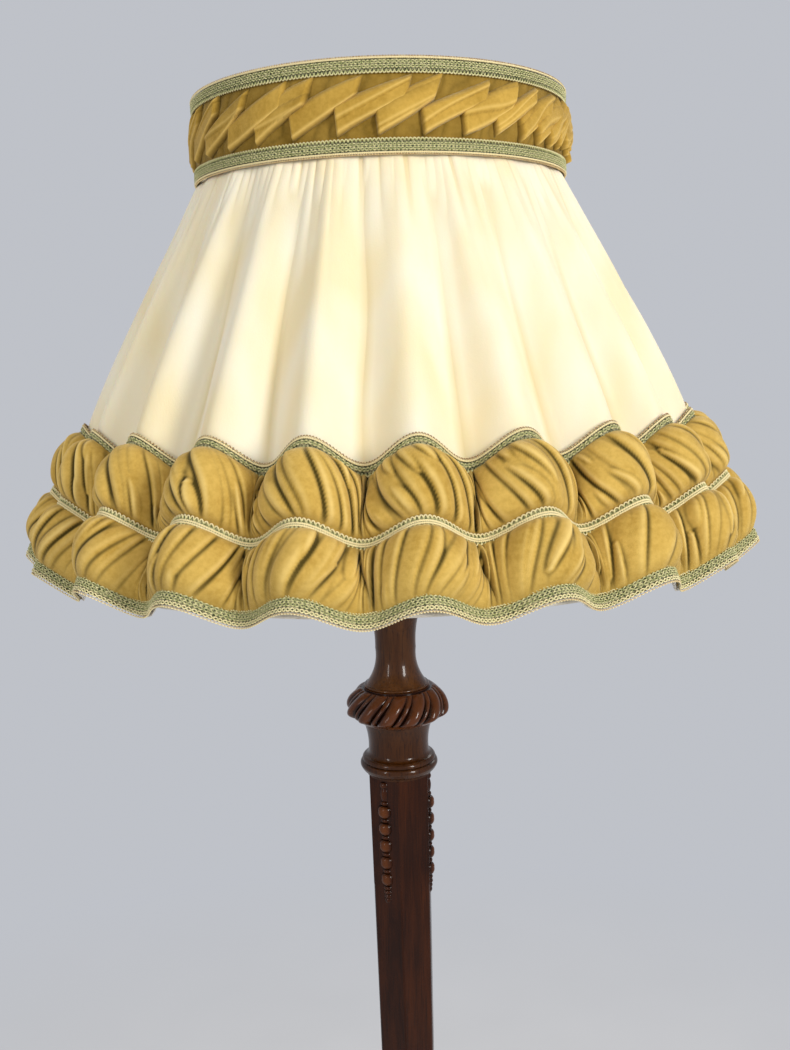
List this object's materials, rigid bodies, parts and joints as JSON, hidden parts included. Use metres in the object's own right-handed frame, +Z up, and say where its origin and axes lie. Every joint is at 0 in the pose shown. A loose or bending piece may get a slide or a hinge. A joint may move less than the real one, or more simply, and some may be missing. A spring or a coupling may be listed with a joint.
{
  "type": "floor lamp",
  "caption": "Wooden floor lamp with a tapered six-sided column, carved collars, round base on bun feet and a gathered cloth shade with ruched velvet bands.",
  "frame": {"origin": "on the floor, under the centre of the round base and of the shade", "axes": "+Z up; -Y is towards a corner of the column and a valley of the shade's skirt"},
  "size_m": [0.543, 0.538, 1.7],
  "materials": {
    "mahogany": "dark french polish",
    "iron": "rough casting",
    "screw_steel": "plain",
    "baize": "felted",
    "brass": "lacquered, a little dull",
    "insulator": "moulded phenolic",
    "bulb_insulator": "black glass",
    "solder": "soft solder",
    "bulb_glass": "clear blown glass",
    "stem_glass": "clear glass",
    "filament": "drawn wire",
    "frame_wire": "white enamel",
    "cream_cloth": "thin crepe, gathered",
    "white_lining": "plain cotton",
    "backing_cloth": "plain cotton",
    "gold_velvet": "cotton velvet, ruched",
    "green_trim": "woven gimp braid",
    "cream_trim": "woven gimp braid"
  },
  "bodies": {
    "stand": {"bun_feet": "mahogany", "base_plinth": "mahogany", "lower_gadroon_collar": "mahogany", "vase_turning": "mahogany", "column_shaft": "mahogany", "column_capital": "mahogany", "gadroon_collar": "mahogany", "neck_turning": "mahogany", "ballast_disc": "iron", "ballast_screws": "screw_steel", "baize_disc": "baize", "flex_bush": "brass", "holder_plate": "brass", "nipple": "brass", "locknut": "brass", "holder_cap": "brass", "holder_barrel": "brass", "holder_insert": "insulator", "shade_ring_lower": "brass", "shade_ring_upper": "brass", "plunger_springs": "screw_steel"},
    "push_bar": {"push_bar": "brass", "push_bar_knobs": "insulator"},
    "contact_plungers": {"contact_plungers": "brass"},
    "bulb": {"bulb_cap": "brass", "bulb_insulator": "bulb_insulator", "bulb_contacts": "solder", "bulb_glass": "bulb_glass", "bulb_stem": "stem_glass", "bulb_filament": "filament"},
    "carrier": {"carrier_washer": "brass", "carrier_arms": "brass", "carrier_ring": "brass"},
    "shade": {"gimbal_ring": "frame_wire", "gimbal_arms": "frame_wire", "top_ring": "frame_wire", "collar_ring": "frame_wire", "bottom_ring": "frame_wire", "frame_struts": "frame_wire", "pleated_cover": "cream_cloth", "cover_lining": "white_lining", "flounce_backing": "backing_cloth", "flounce_upper_velvet": "gold_velvet", "flounce_lower_velvet": "gold_velvet", "flounce_upper_trim": "green_trim", "flounce_middle_trim": "cream_trim", "hem_trim": "green_trim", "band_backing": "backing_cloth", "band_velvet": "gold_velvet", "band_upper_trim": "green_trim", "band_lower_trim": "green_trim"}
  },
  "joints": [
    {"name": "switch_push", "type": "slide", "parent": "stand", "child": "push_bar", "axis": [-1, 0, 0], "range_m": [0, 0.006]},
    {"name": "plunger_press", "type": "slide", "parent": "stand", "child": "contact_plungers", "axis": [0, 0, -1], "range_m": [0, 0.0025], "stiffness_N_per_m": 300, "springref_m": -0.015, "deforming": ["plunger_springs"]},
    {"name": "bulb_twist", "type": "hinge", "parent": "stand", "child": "bulb", "pos_m": [0, 0, 1.45], "axis": [0, 0, 1], "range_deg": [0, 20]},
    {"name": "carrier_turn", "type": "hinge", "parent": "stand", "child": "carrier", "pos_m": [0, 0, 1.43], "axis": [0, 0, 1], "continuous": true},
    {"name": "shade_lift", "type": "slide", "parent": "carrier", "child": "shade", "axis": [0, 0, 1], "range_m": [0, 0.25]}
  ]
}
